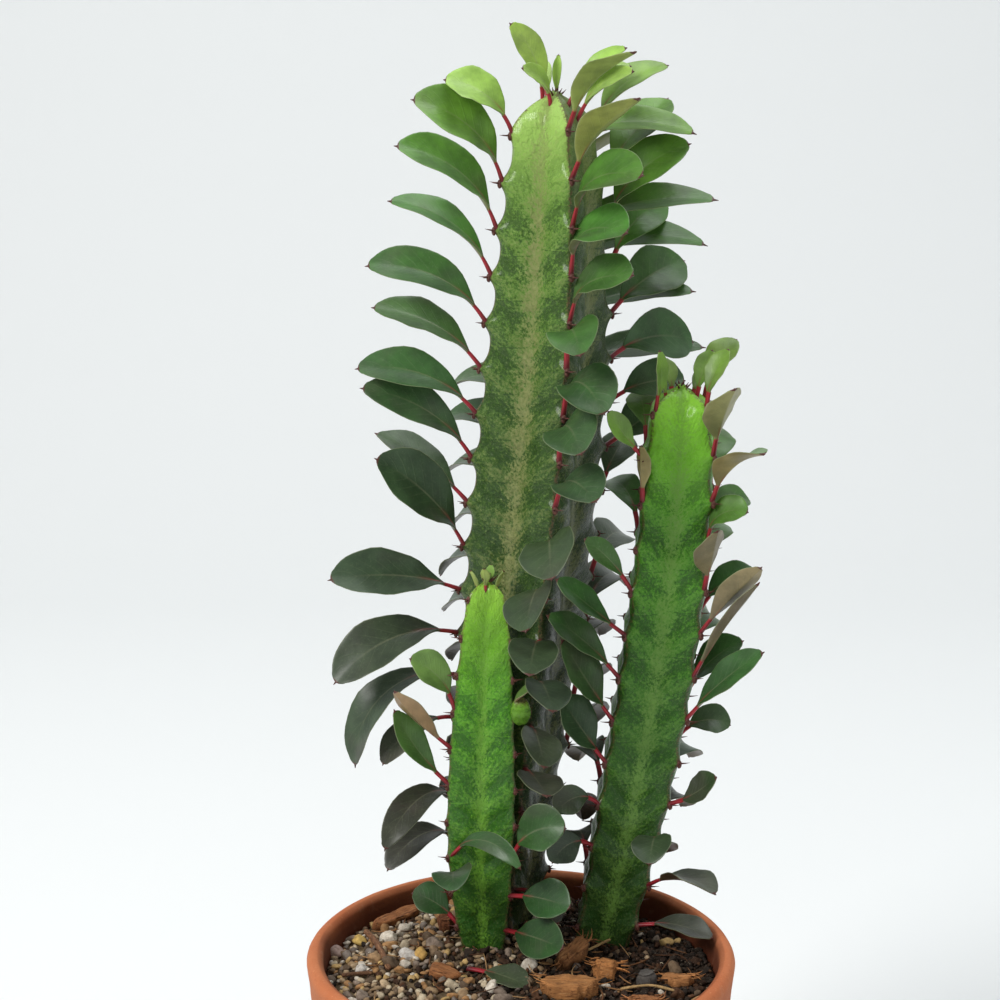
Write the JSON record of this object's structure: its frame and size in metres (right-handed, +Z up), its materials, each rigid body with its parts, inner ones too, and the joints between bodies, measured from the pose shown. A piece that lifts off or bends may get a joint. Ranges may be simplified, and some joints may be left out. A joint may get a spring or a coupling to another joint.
{
  "type": "potted euphorbia",
  "caption": "Upright succulent with ribbed, toothed green stems and stalked leaves, growing in gritty mix in a plain tapered clay pot.",
  "frame": {"origin": "middle of the whole plant's box, at the foot of the pot where it rests", "axes": "+Z up along the stems; -Y towards the front, the side with the short stem; +X to the right seen from the front"},
  "size_m": [0.1684, 0.1702, 0.4772],
  "materials": {
    "terracotta": "unglazed fired clay, matte, slightly dusty",
    "gritty_mix": "dark soil under mixed gravel, matte",
    "stem_green": "waxy plant skin, mottled green with a pale stripe down each face",
    "stem_bright_green": "waxy plant skin, brighter green towards the top",
    "stem_young_green": "waxy young plant skin with reddish margins",
    "bark": "rough bark, matte",
    "coconut_husk": "fibrous coconut husk, matte",
    "grey_stone": "rough grey stone",
    "twig": "dry twig",
    "dark_leaf": "smooth dark leaf"
  },
  "bodies": {
    "root": {"pot": "terracotta", "potting_mix": "gritty_mix", "stem_tall": "stem_green", "stem_right": "stem_bright_green", "stem_short": "stem_young_green", "bark_strip": "bark", "bark_left": "bark", "bark_behind": "bark", "husk_large": "coconut_husk", "husk_upright": "coconut_husk", "husk_square": "coconut_husk", "husk_right": "coconut_husk", "husk_front": "coconut_husk", "stone_grey": "grey_stone", "twig_curved": "twig", "twig_thin": "twig", "fallen_leaf": "dark_leaf"}
  },
  "joints": []
}
